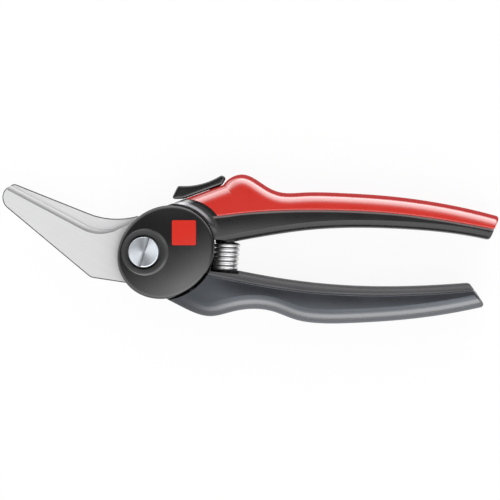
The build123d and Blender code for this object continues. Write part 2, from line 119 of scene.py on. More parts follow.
# %% Paper fibres
def add_node(tree, kind, **settings):
    """A new shader node with its settings; a setting named like a socket sets that input."""
    node = tree.nodes.new(kind)
    for name, value in settings.items():
        if hasattr(node, name):
            setattr(node, name, value)
        else:
            node.inputs[name.replace("_", " ").title()].default_value = value
    return node


def new_material(name, **constants):
    """A material with one Principled shader, whose plain values are set on its own sockets."""
    material = bpy.data.materials.new(name)
    material.use_nodes = True
    shader = material.node_tree.nodes["Principled BSDF"]
    for socket, value in constants.items():
        shader.inputs[socket.replace("_", " ")].default_value = value
    return material, material.node_tree, shader


def mix_colours(tree, factor, first, second):
    """A colour between two others; each is a colour or a socket."""
    node = add_node(tree, "ShaderNodeMix", data_type="RGBA")
    tree.links.new(factor, node.inputs["Factor"])
    for socket, colour in ((node.inputs[6], first), (node.inputs[7], second)):
        if isinstance(colour, bpy.types.NodeSocket):
            tree.links.new(colour, socket)
        else:
            socket.default_value = (*colour, 1)
    return node.outputs[2]


paper_shades = ((0.93, 0.93, 0.93), (0.97, 0.97, 0.97))
floor_paper, tree, shader = new_material("floor_paper", Roughness=0.9)
where = add_node(tree, "ShaderNodeTexCoord").outputs["Object"]
fibres = add_node(tree, "ShaderNodeTexNoise", Scale=40.0, Detail=3.0)
tree.links.new(where, fibres.inputs["Vector"])
paper = mix_colours(tree, fibres.outputs["Fac"], *paper_shades)
tree.links.new(paper, shader.inputs["Base Color"])
floor.data.materials.append(floor_paper)
print("paper:", len(tree.nodes), "nodes")

# %% [markdown]
# ## Glow of the paper
# A studio lights such paper until it is white, but that much light would bleach the tool as well. Here
# most of the white is a glow that the camera and the polished steel see and that lights nothing. The rest
# of it is lit by the sky, so a faint shadow stays. One more helper does sums with nodes.


# %% Paper glow
def math_node(tree, operation, first, second=None, third=None, **settings):
    """One Math node; its inputs are numbers or sockets of other nodes."""
    node = add_node(tree, "ShaderNodeMath", operation=operation, **settings)
    for socket, value in zip(node.inputs, (first, second, third)):
        if isinstance(value, bpy.types.NodeSocket):
            tree.links.new(value, socket)
        elif value is not None:
            socket.default_value = value
    return node.outputs[0]


paper_glow = 0.92
rays = add_node(tree, "ShaderNodeLightPath").outputs
seen = math_node(tree, "ADD", rays["Is Camera Ray"], rays["Is Glossy Ray"])
seen = math_node(tree, "ADD", seen, rays["Is Transmission Ray"], use_clamp=True)
share = math_node(tree, "MULTIPLY", seen, paper_glow)
glow = add_node(tree, "ShaderNodeEmission", Strength=1.0)
blend = add_node(tree, "ShaderNodeMixShader")
for socket, source in zip(blend.inputs, (share, shader.outputs[0], glow.outputs[0])):
    tree.links.new(source, socket)
tree.links.new(blend.outputs[0], tree.nodes["Material Output"].inputs["Surface"])
print("paper has", paper_glow, "of its white from itself")

# %% [markdown]
# ## Sky
# Glossy things show the room around them. The room here is one soft sky. It could be a picture, but it is
# worked out from the direction instead, so nothing is read from disk. The first step takes the direction
# apart: how far it points to the right, to the back and up, and how far along and across the slant from
# the upper left to the lower right.


# %% Directions of the sky
def axes(tree, vector):
    """The three coordinates of a vector, one socket each."""
    node = add_node(tree, "ShaderNodeSeparateXYZ")
    tree.links.new(vector, node.inputs[0])
    return node.outputs


world = bpy.data.worlds.new("studio")
scene.world = world
world.use_nodes = True
tree = world.node_tree
where = add_node(tree, "ShaderNodeTexCoord").outputs["Generated"]
right, back, up = axes(tree, where)
half_root = 0.5**0.5
slant = math_node(tree, "MULTIPLY", math_node(tree, "SUBTRACT", right, back), half_root)
across = math_node(tree, "MULTIPLY", math_node(tree, "ADD", right, back), half_root)
across = math_node(tree, "ABSOLUTE", across)
print("sky:", len(tree.nodes), "nodes so far")

# %% [markdown]
# ## Soft box
# A soft box leans to the lower right and lays the sheen across the hub cover. A lamp could do that, but
# its edge would show in the gloss. As a part of the sky it fades out on every side, with smooth ramps
# multiplied together.


# %% Soft box
def ramp_between(tree, value, low, high, from_low=0.0, to_high=1.0):
    """A smooth change from one value to another as the input goes from low to high."""
    node = add_node(tree, "ShaderNodeMapRange", interpolation_type="SMOOTHSTEP")
    tree.links.new(value, node.inputs["Value"])
    node.inputs["From Min"].default_value = low
    node.inputs["From Max"].default_value = high
    node.inputs["To Min"].default_value = from_low
    node.inputs["To Max"].default_value = to_high
    return node.outputs["Result"]


def fade_between(tree, value, low, high):
    """A smooth fall from 1 to 0 as the input goes from low to high."""
    return ramp_between(tree, value, low, high, 1.0, 0.0)


def product(tree, *factors):
    """The product of any number of sockets and numbers."""
    result = factors[0]
    for factor in factors[1:]:
        result = math_node(tree, "MULTIPLY", result, factor)
    return result


box_begin = (0.0, 0.35)
box_end = (0.4, 0.6)
box_sides = (0.1, 0.4)
box = product(
    tree,
    ramp_between(tree, slant, *box_begin),
    fade_between(tree, slant, *box_end),
    fade_between(tree, across, *box_sides),
)
print("box is full from", box_begin[1], "to", box_end[0], "along the slant")

# %% [markdown]
# ## Banks of light
# Two long banks draw the highlights along the rounded grips. The one behind the tool is brightest near
# the horizon and fades upwards. The one in front reaches from near the horizon almost to overhead. Both
# are weaker to the left, where the blades are. A fill low at the left lifts the edges that turn that way.

# %% Banks of light
rightward = (-0.8, 0.1)
left_share = 0.5
back_begin = (0.12, 0.6)
back_foot = (0.0, 0.02)
back_fall = -0.95
front_end = (-0.5, -0.05)
front_foot = (0.0, 0.25)
fill_end = (-0.85, -0.4)
fill_top = (0.35, 0.75)

along = ramp_between(tree, right, *rightward, left_share, 1.0)
at_back = product(
    tree,
    along,
    ramp_between(tree, back, *back_begin),
    ramp_between(tree, up, *back_foot),
    math_node(tree, "MULTIPLY_ADD", up, back_fall, 1.0),
)
at_front = product(
    tree,
    along,
    fade_between(tree, back, *front_end),
    ramp_between(tree, up, *front_foot),
)
at_left = product(tree, fade_between(tree, right, *fill_end), fade_between(tree, up, *fill_top))
print("banks have", left_share, "of their light at the far left")

# %% [markdown]
# ## Brightness of the sky
# Black plastic shows the sky straight above it, so that part is dim and the plastic stays black. Each lit
# area adds its own strength to that.

# %% Brightness of the sky
overhead = 0.08
soft_box = 2.0
back_bank = 3.3
front_bank = 2.0
left_fill = 0.7

level = overhead
lit_areas = ((box, soft_box), (at_left, left_fill), (at_back, back_bank), (at_front, front_bank))
for area, strength in lit_areas:
    level = math_node(tree, "MULTIPLY_ADD", area, strength, level)
sky = tree.nodes["Background"]
sky.inputs["Color"].default_value = (1, 1, 1, 1)
tree.links.new(level, sky.inputs["Strength"])
print("sky: overhead", overhead, "box", soft_box, "banks", back_bank, front_bank, "fill", left_fill)

# %% [markdown]
# ## Moulded skin
# Every moulded surface has a fine spark-eroded grain, and faint cloudy differences from handling.
# Painting them by hand would give the look from one side only. Noise on the object's own coordinates
# holds from all sides, so both are noise in one node group, which each material places with its own
# scales.


# %% Moulded skin
def new_group(name, inputs, outputs):
    """An empty shader node group with float or vector sockets, and its two end nodes."""
    group = bpy.data.node_groups.new(name, "ShaderNodeTree")
    for socket, kind in inputs.items():
        group.interface.new_socket(socket, in_out="INPUT", socket_type=kind)
    for socket in outputs:
        group.interface.new_socket(socket, in_out="OUTPUT", socket_type=number)
    return group, group.nodes.new("NodeGroupInput"), group.nodes.new("NodeGroupOutput")


def noise_in(group, vector, scale, detail):
    """A noise texture inside a group, at a scale that one of the group's inputs gives."""
    noise = add_node(group, "ShaderNodeTexNoise", Detail=detail)
    group.links.new(vector, noise.inputs["Vector"])
    group.links.new(scale, noise.inputs["Scale"])
    return noise.outputs["Fac"]


number = "NodeSocketFloat"
direction = "NodeSocketVector"
skin_details = {"Grain": 2.0, "Cloud": 4.0}
skin_inputs = {"Vector": direction, "Grain Scale": number, "Cloud Scale": number}
moulded_skin, entry, leave = new_group("moulded_skin", skin_inputs, skin_details)
for made, detail in skin_details.items():
    noise = noise_in(moulded_skin, entry.outputs["Vector"], entry.outputs[made + " Scale"], detail)
    moulded_skin.links.new(noise, leave.inputs[made])
print("group", moulded_skin.name, "gives", list(skin_details))

# %% [markdown]
# ## Plain mouldings
# The latch is hard black plastic and the badge an inlay of red plastic. Both have two near shades mixed
# by the cloudy mask, a gloss that varies with the same mask, and the grain as a very low bump. One flat
# colour would look like paint. The recipe comes in two halves, a start and an end, so that other plastics
# can add to it in between.


# %% Start and end of a plastic
def place_group(tree, group, vector, **values):
    """A group placed in a material, reading the given coordinates."""
    node = add_node(tree, "ShaderNodeGroup", node_tree=group)
    tree.links.new(vector, node.inputs["Vector"])
    for socket, value in values.items():
        node.inputs[socket.replace("_", " ")].default_value = value
    return node


def start_plastic(name, shades, gloss, **constants):
    """A plastic in the making: its nodes, and the colour, roughness and height so far."""
    material, tree, shader = new_material(name, **constants)
    where = add_node(tree, "ShaderNodeTexCoord").outputs["Object"]
    skin = place_group(tree, moulded_skin, where, Grain_Scale=2200.0, Cloud_Scale=70.0).outputs
    colour = mix_colours(tree, skin["Cloud"], *shades)
    rough = ramp_between(tree, skin["Cloud"], *cloud_range, *gloss)
    return SimpleNamespace(
        name=name, material=material, tree=tree, shader=shader, where=where,
        grain=skin["Grain"], colour=colour, rough=rough, height=None,
    )


def relief(tree, height, scale, under=None):
    """The normals of a height at a scale in metres, laid over other normals if they are given."""
    node = add_node(tree, "ShaderNodeBump", Distance=scale)
    tree.links.new(height, node.inputs["Height"])
    if under is not None:
        tree.links.new(under, node.inputs["Normal"])
    return node.outputs["Normal"]


def end_plastic(look, grain_depth):
    """The gathered colour, roughness and height, wired to the shader, with the grain on top."""
    tree, shader = look.tree, look.shader
    form = None if look.height is None else relief(tree, look.height, metre)
    tree.links.new(look.colour, shader.inputs["Base Color"])
    tree.links.new(look.rough, shader.inputs["Roughness"])
    tree.links.new(relief(tree, look.grain, grain_depth, form), shader.inputs["Normal"])
    finishes[look.name] = look.material
    print(look.name, "has", len(tree.nodes), "nodes")


cloud_range = (0.3, 0.7)
finishes = {}
print("recipe starts from the group", moulded_skin.name)

# %% Latch and badge
polished = {"Specular_IOR_Level": 1.0}
latch_shades = ((0.006, 0.006, 0.007), (0.010, 0.010, 0.011))
badge_shades = ((0.60, 0.024, 0.014), (0.66, 0.030, 0.018))
look = start_plastic("latch_black", latch_shades, gloss=(0.18, 0.24), **polished)
end_plastic(look, grain_depth=0.004 * mm)
look = start_plastic("badge_red", badge_shades, gloss=(0.22, 0.3))
end_plastic(look, grain_depth=0.002 * mm)

# %% [markdown]
# ## Hub covers
# The two covers are polished like the latch, apart from a matt circle round the screw and the nut, which
# in front is the dish. A second material on the faces of the dish would have a hard edge. A roughness
# that falls off with the distance from the pivot axis has a soft one.


# %% Hub covers
def pivot_distance(tree, position):
    """The distance from the pivot axis."""
    flat = add_node(tree, "ShaderNodeVectorMath", operation="MULTIPLY")
    flat.inputs[1].default_value = (1, 1, 0)
    tree.links.new(position, flat.inputs[0])
    length = add_node(tree, "ShaderNodeVectorMath", operation="LENGTH")
    tree.links.new(flat.outputs["Vector"], length.inputs[0])
    return length.outputs["Value"]


dish_matt = 8.2 * mm
dish_edge = 8.6 * mm
dish_rough = 0.5
cover_shades = ((0.005, 0.005, 0.006), (0.008, 0.008, 0.009))
look = start_plastic("cover_black", cover_shades, gloss=(0.2, 0.26), **polished)
in_dish = fade_between(look.tree, pivot_distance(look.tree, look.where), dish_matt, dish_edge)
look.rough = math_node(look.tree, "MULTIPLY_ADD", in_dish, dish_rough, look.rough)
end_plastic(look, grain_depth=0.003 * mm)

# %% [markdown]
# ## Seams and crowns
# Each grip is moulded round its core, and the two meet at a seam along the handle. From a flat strip
# beside the seam both faces fall away a little, which bends the reflections. That crown is far lower than
# the faces are wide, so it is relief in the material: a height worked out from the distance to the seam,
# and the seam is a smooth curve through a few points.


# %% Distance to a seam
def below_seam(tree, position, points):
    """How far a point lies below a seam that runs from left to right, seen from the front."""
    x, y, _ = axes(tree, position)
    left, right = points[0][0], points[-1][0]
    heights = [seam_y for _, seam_y in points]
    low, high = min(heights), max(heights)
    along = math_node(tree, "SUBTRACT", x, left * mm)
    along = math_node(tree, "DIVIDE", along, (right - left) * mm)
    run = add_node(tree, "ShaderNodeFloatCurve")
    spots = run.mapping.curves[0].points
    while len(spots) < len(points):
        spots.new(0.5, 0.5)
    for spot, (seam_x, seam_y) in zip(spots, points):
        spot.location = ((seam_x - left) / (right - left), (seam_y - low) / (high - low))
    run.mapping.update()
    tree.links.new(along, run.inputs["Value"])
    seam_height = math_node(tree, "MULTIPLY_ADD", run.outputs[0], (high - low) * mm, low * mm)
    return math_node(tree, "SUBTRACT", seam_height, y)


upper_seam = [(12.0, 12.2), (30.0, 13.85), (42.0, 15.2), (66.0, 16.0), (90.0, 15.2), (110.0, 12.95),
              (126.0, 10.25), (145.0, 6.6)]
lower_seam = [(14.0, -6.6), (27.5, -9.3), (49.1, -13.4), (72.6, -16.0), (98.6, -16.4), (145.0, -12.6)]
print("seams have", len(upper_seam), "and", len(lower_seam), "points")


# %% Crown beside a seam
def crown_height(tree, gap):
    """A height that falls away from the seam, after a flat strip: ever steeper at first, then evenly."""
    gap = math_node(tree, "MAXIMUM", math_node(tree, "SUBTRACT", gap, crown_start), 0.0)
    reach = math_node(tree, "MINIMUM", gap, crown_reach)
    rest = math_node(tree, "SUBTRACT", math_node(tree, "MULTIPLY", gap, 2.0), reach)
    return product(tree, reach, rest, -crown_rate)


def add_crown(look, seam, side):
    """The crown of the face on one side of a seam; it gives back the distance from the seam."""
    gap = math_node(look.tree, "MULTIPLY", below_seam(look.tree, look.where, seam), side)
    look.height = crown_height(look.tree, gap)
    return gap


below, above = 1.0, -1.0
crown_start = 2.0 * mm
crown_reach = 5.0 * mm
crown_rate = 13.0
print("crown starts", round(crown_start / mm, 2), "mm from the seam")

# %% [markdown]
# ## Grey core
# The core of the lower handle is a satin grey. Along the seam it has a painted highlight, a pale stripe
# where the core's edge would catch the light. The stripe is worked out from the same distance from the
# seam, so it can't stray from it.


# %% Grey core
def add_painted_lip_highlight(look, gap, shade, clear=None):
    """A painted highlight: a pale stripe along the seam, limited by a mask if one is given."""
    tree = look.tree
    stripe = product(tree, ramp_between(tree, gap, *lip_highlight_begin), fade_between(tree, gap, *lip_highlight_end))
    if clear is not None:
        stripe = product(tree, stripe, clear)
    look.colour = mix_colours(tree, stripe, look.colour, shade)


# The painted highlight along the seam rises and falls over these distances from it.
lip_highlight_begin = (-0.3 * mm, 0.0)
lip_highlight_end = (0.4 * mm, 0.9 * mm)
grey_shades = ((0.066, 0.066, 0.070), (0.078, 0.078, 0.082))
# Colour of the painted highlight along the grey core's seam.
grey_lip_highlight = (0.18, 0.18, 0.19)
look = start_plastic("core_grey", grey_shades, gloss=(0.40, 0.48))
gap = add_crown(look, lower_seam, above)
add_painted_lip_highlight(look, gap, grey_lip_highlight)
end_plastic(look, grain_depth=0.006 * mm)

# %% [markdown]
# ## Black core
# The core of the upper handle is black and glossier. Above the hub it rises towards the cover in a low
# glazed crescent, whose upper edge has a painted highlight. The cover's outline is an oval, so a Mapping
# node turns and scales the oval to a circle, and the distance from its middle, where 1 is the outline,
# drives height, glaze and the painted highlight alike. The seam has a painted highlight as on the grey
# core.


# %% Distance from the hub
def hub_distance(tree, position):
    """The distance from the middle of the hub, where 1 is the outline of the cover."""
    lay = add_node(
        tree, "ShaderNodeMapping", vector_type="TEXTURE",
        Location=hub_centre, Rotation=hub_turn, Scale=hub_radii,
    )
    tree.links.new(position, lay.inputs["Vector"])
    x, y, _ = axes(tree, lay.outputs["Vector"])
    square = math_node(tree, "MULTIPLY_ADD", y, y, math_node(tree, "MULTIPLY", x, x))
    return math_node(tree, "SQRT", square)


hub_centre = (8.6 * mm, 0, 0)
hub_radii = (19.4 * mm, 17.2 * mm, 1)
hub_turn = (0, 0, radians(36.5))
black_shades = ((0.006, 0.006, 0.0065), (0.010, 0.010, 0.0105))
hard_black = {"Specular_IOR_Level": 0.55, "Coat_IOR": 3.0, "Coat_Roughness": 0.15}
look = start_plastic("core_black", black_shades, gloss=(0.24, 0.3), **hard_black)
gap = add_crown(look, upper_seam, below)
out = hub_distance(look.tree, look.where)
over_pivot = axes(look.tree, look.where)[1]
print("hub is", round(2 * hub_radii[0] / mm, 1), "by", round(2 * hub_radii[1] / mm, 1), "mm")

# %% Crescent beside the cover
rim_end = 1.13
rim_gone = 1.05 * rim_end
rim_height = 0.6 * mm
rim_above = (7.0 * mm, 11.0 * mm)
# Where the painted highlight on the crescent's upper edge lies, and its pale colour.
rim_highlight_above = (10.5 * mm, 15.0 * mm)
rim_highlight_begin = (1.02, 1.05)
rim_highlight_end = (1.06, 1.11)
rim_highlight_pale = (0.5, 0.5, 0.53)
# Colour of the painted highlight along the black core's seam.
black_lip_highlight = (0.2, 0.18, 0.18)

tree = look.tree
upper = ramp_between(tree, over_pivot, *rim_above)
rise = product(tree, upper, ramp_between(tree, out, 1.0, rim_end, rim_height, 0.0))
look.height = math_node(tree, "ADD", look.height, rise)
glaze = product(tree, upper, fade_between(tree, out, rim_end, rim_gone))
tree.links.new(glaze, look.shader.inputs["Coat Weight"])
# Painted highlight: a pale band in the colour along the crescent's upper edge.
painted_rim_highlight = product(
    tree,
    ramp_between(tree, over_pivot, *rim_highlight_above),
    ramp_between(tree, out, *rim_highlight_begin),
    fade_between(tree, out, *rim_highlight_end),
)
look.colour = mix_colours(tree, painted_rim_highlight, look.colour, rim_highlight_pale)
# A painted highlight along the seam as well, kept off the crescent.
add_painted_lip_highlight(look, gap, black_lip_highlight, clear=ramp_between(tree, out, rim_end, rim_gone))
end_plastic(look, grain_depth=0.006 * mm)

# %% [markdown]
# ## Sides of the grips
# A grip has a face, a rounding and a flank, and hands polish the rounding most. The flank also gets a
# painted shade, darker on the red grip and paler on the grey one. A material for each would need cuts in
# the mesh, but the height from the middle plane of the handle tells them apart. A node group turns it
# into two masks, one for the flank and one for the crown of the face, and what is left is the rounding.

# %% Flank and crown masks
flank_edge = (0.95, 1.0)
crown_edge = (1.14, 1.234)
flank_inputs = {"Vector": direction, "Middle": number, "Half": number, "Side": number}
flank, entry, leave = new_group("flank", flank_inputs, ["Flank", "Crown"])
height = axes(flank, entry.outputs["Vector"])[2]
aside = math_node(flank, "ABSOLUTE", math_node(flank, "SUBTRACT", height, entry.outputs["Middle"]))
to_side = math_node(flank, "DIVIDE", aside, entry.outputs["Side"])
to_crown = math_node(flank, "DIVIDE", aside, entry.outputs["Half"])
flank.links.new(fade_between(flank, to_side, *flank_edge), leave.inputs["Flank"])
flank.links.new(ramp_between(flank, to_crown, *crown_edge), leave.inputs["Crown"])
print("group", flank.name, "reads", list(flank_inputs))


# %% Painted shade and glaze of the sides
def add_sides(look, shade, glaze, reach=None, palm_wear_and_sheen=None):
    """Matt flanks with a painted shade of their own, and a glaze with a weight for flank, rounding and
    crown.
    One socket may say how far from the middle the flank reaches, and one how much the palm wears a place;
    that one also scales the painted flank shade."""
    tree = look.tree
    on_flank, on_round, on_crown = glaze
    zone = place_group(tree, flank, look.where, Middle=handle_middle, Half=flank_half, Side=flank_half)
    if reach is not None:
        tree.links.new(reach, zone.inputs["Side"])
    side = painted_flank = zone.outputs["Flank"]
    weight = ramp_between(tree, zone.outputs["Crown"], 0.0, 1.0, on_round, on_crown)
    weight = math_node(tree, "MULTIPLY_ADD", side, on_flank - on_round, weight)
    if palm_wear_and_sheen is not None:
        painted_flank = product(tree, side, palm_wear_and_sheen)
        weight = product(tree, weight, palm_wear_and_sheen)
    # Painted shade on the flanks.
    look.colour = mix_colours(tree, painted_flank, look.colour, shade)
    look.rough = math_node(tree, "MAXIMUM", look.rough, product(tree, side, side_rough))
    tree.links.new(weight, look.shader.inputs["Coat Weight"])


handle_middle = 8.525 * mm
flank_half = 6.9 * mm
side_rough = 0.6
print("flank ends", round(flank_half / mm, 2), "mm from the middle plane")

# %% [markdown]
# ## Grey grip
# The lower grip is a dark grey soft moulding with a slight blue gloss, and its flanks have a paler
# painted shade. The palm polishes it from the bend to the end and never reaches the part beside the hub,
# which stays matt. A ramp along the handle takes the glaze and the painted flank shade away there and
# adds roughness.

# %% Grey grip
palm_begin = 12.0 * mm
palm_full = 40.0 * mm
palm_rough = 0.4
grip_shades = ((0.007, 0.0072, 0.010), (0.010, 0.0102, 0.013))
# Paler painted shade for the grey grip's flanks.
grey_flank_painted_light = (0.031, 0.034, 0.042)
soft = {"IOR": 1.8, "Specular_Tint": (0.85, 0.91, 1.0, 1.0), "Coat_Roughness": 0.2, "Coat_IOR": 2.1}
look = start_plastic("grip_grey", grip_shades, gloss=(0.24, 0.3), **soft)
palm_wear_and_sheen = ramp_between(look.tree, axes(look.tree, look.where)[0], palm_begin, palm_full)
unworn = ramp_between(look.tree, palm_wear_and_sheen, 0.0, 1.0, palm_rough, 0.0)
look.rough = math_node(look.tree, "ADD", look.rough, unworn)
add_sides(look, grey_flank_painted_light, glaze=(0.3, 1.0, 0.0), palm_wear_and_sheen=palm_wear_and_sheen)
add_crown(look, lower_seam, below)
end_plastic(look, grain_depth=0.004 * mm)

# %% [markdown]
# ## Red grip
# The upper grip is red with a thick glaze, and its flanks have a darker painted shade. Along the latch's
# bed the glazed rounding starts further in, so there the flank and its painted shade reach less far from
# the middle plane, and on the hump behind the bed they are back at their full reach. How far a point lies
# along the bed is a dot product with the bed's direction.


# %% Red grip
def along_way(tree, position, way):
    """How far a point reaches along a direction."""
    node = add_node(tree, "ShaderNodeVectorMath", operation="DOT_PRODUCT")
    tree.links.new(position, node.inputs[0])
    node.inputs[1].default_value = way
    return node.outputs["Value"]


bed_slope = radians(20)
bed_end = 36.0 * mm
hump_top = 46.0 * mm
bed_half = 5.6 * mm
red_shades = ((0.55, 0.022, 0.012), (0.62, 0.046, 0.036))
# Darker painted shade for the red grip's flanks.
red_flank_painted_shade = (0.40, 0.026, 0.026)
glazed = {"Specular_IOR_Level": 0.1, "Coat_Roughness": 0.08, "Coat_IOR": 3.0}
look = start_plastic("grip_red", red_shades, gloss=(0.3, 0.38), **glazed)
along = along_way(look.tree, look.where, (cos(bed_slope), sin(bed_slope), 0))
reach = ramp_between(look.tree, along, bed_end, hump_top, bed_half, flank_half)
add_sides(look, red_flank_painted_shade, glaze=(0.0, 1.0, 0.2), reach=reach)
add_crown(look, upper_seam, above)
end_plastic(look, grain_depth=0.003 * mm)

# %% [markdown]
# ## Ground lines
# Grinding and turning leave fine lines on steel. Lines are noise that is stretched along the way the
# wheel or the tool went. One group turns, stretches and scales the noise, and each steel places it with
# its own values.

# %% Ground lines
line_detail = 3.0
line_inputs = {"Vector": direction, "Turn": direction, "Stretch": direction, "Scale": number}
ground_lines, entry, leave = new_group("ground_lines", line_inputs, ["Lines"])
lay = add_node(ground_lines, "ShaderNodeMapping", vector_type="TEXTURE")
for source, socket in (("Vector", "Vector"), ("Turn", "Rotation"), ("Stretch", "Scale")):
    ground_lines.links.new(entry.outputs[source], lay.inputs[socket])
lines = noise_in(ground_lines, lay.outputs["Vector"], entry.outputs["Scale"], line_detail)
ground_lines.links.new(lines, leave.inputs["Lines"])
print("group", ground_lines.name, "reads", list(line_inputs))

# %% [markdown]
# ## Blade faces
# The blades are stamped from sheet and ground on their faces, so the faces are a pale satin. Where the
# surface tilts away from level, on the sides and the rims, the colour has a painted shade. The two could
# be separate materials, but the rounded rim between them would get a hard line. How level the surface
# lies tells them apart with a soft change.


# %% Blade faces
def start_blade(name, shades):
    """A blade in the making: its nodes, its masks, and the colour so far."""
    material, tree, shader = new_material(name, Specular_IOR_Level=0.1)
    where = add_node(tree, "ShaderNodeTexCoord").outputs["Object"]
    lay = {"Turn": (0, 0, edge_turn), "Stretch": (40, 1, 1), "Scale": 1500.0}
    lines = place_group(tree, ground_lines, where, **lay).outputs["Lines"]
    normal = add_node(tree, "ShaderNodeNewGeometry").outputs["Normal"]
    level = math_node(tree, "ABSOLUTE", axes(tree, normal)[2])
    face = mix_colours(tree, lines, *shades)
    flat = ramp_between(tree, level, *rim_to_face)
    return SimpleNamespace(
        name=name, material=material, tree=tree, shader=shader, where=where,
        lines=lines, level=level, face=face, flat=flat,
        colour=mix_colours(tree, flat, rim_painted_shade, face),
    )


shoulder_tip = Vector((-52.4, 23.9)) * mm
shoulder_corner = Vector((-17.0, 5.1)) * mm
shoulder_end = Vector((0.0, 13.7)) * mm
edge_way = shoulder_tip - shoulder_corner
edge_turn = atan2(edge_way.y, edge_way.x)
rim_to_face = (0.55, 0.95)
# Painted shade where the blade's surface tilts away from level.
rim_painted_shade = (0.05, 0.05, 0.052)
front_shades = ((0.68, 0.68, 0.685), (0.76, 0.76, 0.765))
rear_shades = ((0.72, 0.72, 0.725), (0.8, 0.8, 0.805))
front = start_blade("front_blade_steel", front_shades)
rear = start_blade("rear_blade_steel", rear_shades)
print("lines run along the edge,", round(edge_way.length / mm, 1), "mm long")

# %% [markdown]
# ## Hollow bevel
# The bevel of the front blade is hollow ground, and the wheel bit in deepest at the shoulder. Its colour
# has a painted shade, darkest at the shoulder and paler towards the edge. Its shoulder has two straight
# legs, one along the edge and one along the ricasso, the short blunt length by the hub. The mask is the
# distance from both, joined by a smooth minimum, so that it bends round the heel as the wheel did.


# %% Hollow bevel
def beyond_line(tree, position, start, end):
    """How far a point lies to the left of the way from start to end, seen from the front."""
    way = (end - start).normalized()
    left = Vector((-way.y, way.x))
    reach = along_way(tree, position, (left.x, left.y, 0))
    return math_node(tree, "SUBTRACT", reach, left.dot(start))


bevel_begin = (-0.15 * mm, 0.1 * mm)
bevel_rise = (0.2 * mm, 2.0 * mm)
bevel_level = (0.28, 0.93)
heel_blend = 10.0 * mm
# Painted shade at the bevel's shoulder, fading into the face colour towards the edge.
bevel_painted_shade = (0.26, 0.26, 0.265)

tree = front.tree
on_edge = beyond_line(tree, front.where, shoulder_tip, shoulder_corner)
on_ricasso = beyond_line(tree, front.where, shoulder_corner, shoulder_end)
into_bevel = math_node(tree, "SMOOTH_MIN", on_edge, on_ricasso, heel_blend)
begin = ramp_between(tree, into_bevel, *bevel_begin)
rise = ramp_between(tree, into_bevel, *bevel_rise)
rise = math_node(tree, "MINIMUM", rise, ramp_between(tree, front.level, *bevel_level))
# Painted shade in the bevel, mixed into its colour.
painted_bevel = mix_colours(tree, rise, bevel_painted_shade, front.face)
front.colour = mix_colours(tree, begin, front.colour, painted_bevel)
front.flat = math_node(tree, "MULTIPLY", front.flat, math_node(tree, "SUBTRACT", 1.0, begin))
print("bevel shade ends", round(bevel_rise[1] / mm, 2), "mm from the shoulder")

# %% [markdown]
# ## Black tangs
# Inside the handles the tangs are never ground and keep the black scale from hardening. Only slivers of
# them show, so a change of colour along X is enough. It takes the metallic share away too, because scale
# isn't bare metal.


# %% Black tangs
def end_blade(look):
    """The black tang, and everything gathered so far, wired to the shader."""
    tree, shader = look.tree, look.shader
    on_tang = ramp_between(tree, axes(tree, look.where)[0], tang_start, tang_start + scale_fade)
    colour = mix_colours(tree, on_tang, look.colour, scale_dark)
    bare = math_node(tree, "MULTIPLY", look.flat, math_node(tree, "SUBTRACT", 1.0, on_tang))
    cloud = place_group(tree, moulded_skin, look.where, Cloud_Scale=45.0).outputs["Cloud"]
    tree.links.new(colour, shader.inputs["Base Color"])
    tree.links.new(product(tree, bare, satin_metal), shader.inputs["Metallic"])
    tree.links.new(ramp_between(tree, cloud, *cloud_range, *blade_gloss), shader.inputs["Roughness"])
    tree.links.new(relief(tree, look.lines, blade_line_depth), shader.inputs["Normal"])
    finishes[look.name] = look.material
    print(look.name, "has", len(tree.nodes), "nodes")


tang_start = 18.0 * mm
scale_fade = 2.0 * mm
scale_dark = (0.012, 0.012, 0.013)
satin_metal = 0.3
blade_gloss = (0.4, 0.48)
blade_line_depth = 0.002 * mm
end_blade(front)
end_blade(rear)

# %% [markdown]
# ## Turned and drawn steel
# The screw is turned bright on a lathe, so fine rings run round its axis and spread the highlights into
# rays. Rings are the ground lines on the distance from the axis, with a gloss that is stretched round the
# axis. Down in the slot the steel has a painted shade. Washers, nut, pin and bush are plainer zinc-plated
# steel, and the springs are drawn wire and strip, so all of them share one recipe.


# %% Turned and drawn steel
def ring_distance(tree, position):
    """A vector whose X is the distance from the pivot axis."""
    joined = add_node(tree, "ShaderNodeCombineXYZ")
    tree.links.new(pivot_distance(tree, position), joined.inputs[0])
    return joined.outputs[0]


def bright_steel(name, shades, gloss, rings=False, **constants):
    """Bright steel, with lathe rings round the pivot or a fine drawn grain."""
    material, tree, shader = new_material(name, Metallic=1.0, **constants)
    where = add_node(tree, "ShaderNodeTexCoord").outputs["Object"]
    cloud = place_group(tree, moulded_skin, where, Cloud_Scale=160.0).outputs["Cloud"]
    lay = ring_distance(tree, where) if rings else where
    lines = place_group(tree, ground_lines, lay, Stretch=(1, 1, 1), Scale=4000.0).outputs["Lines"]
    colour = mix_colours(tree, lines, *shades)
    if rings:
        on_top = ramp_between(tree, axes(tree, where)[2], slot_floor, screw_top)
        # Painted shade down in the slot.
        colour = mix_colours(tree, on_top, slot_painted_shade, colour)
        round_axis = add_node(tree, "ShaderNodeTangent", direction_type="RADIAL", axis="Z")
        tree.links.new(round_axis.outputs[0], shader.inputs["Tangent"])
    tree.links.new(colour, shader.inputs["Base Color"])
    tree.links.new(ramp_between(tree, cloud, *cloud_range, *gloss), shader.inputs["Roughness"])
    tree.links.new(relief(tree, lines, steel_line_depth), shader.inputs["Normal"])
    finishes[name] = material


steel_line_depth = 0.001 * mm
slot_floor = 15.5 * mm
screw_top = 16.2 * mm
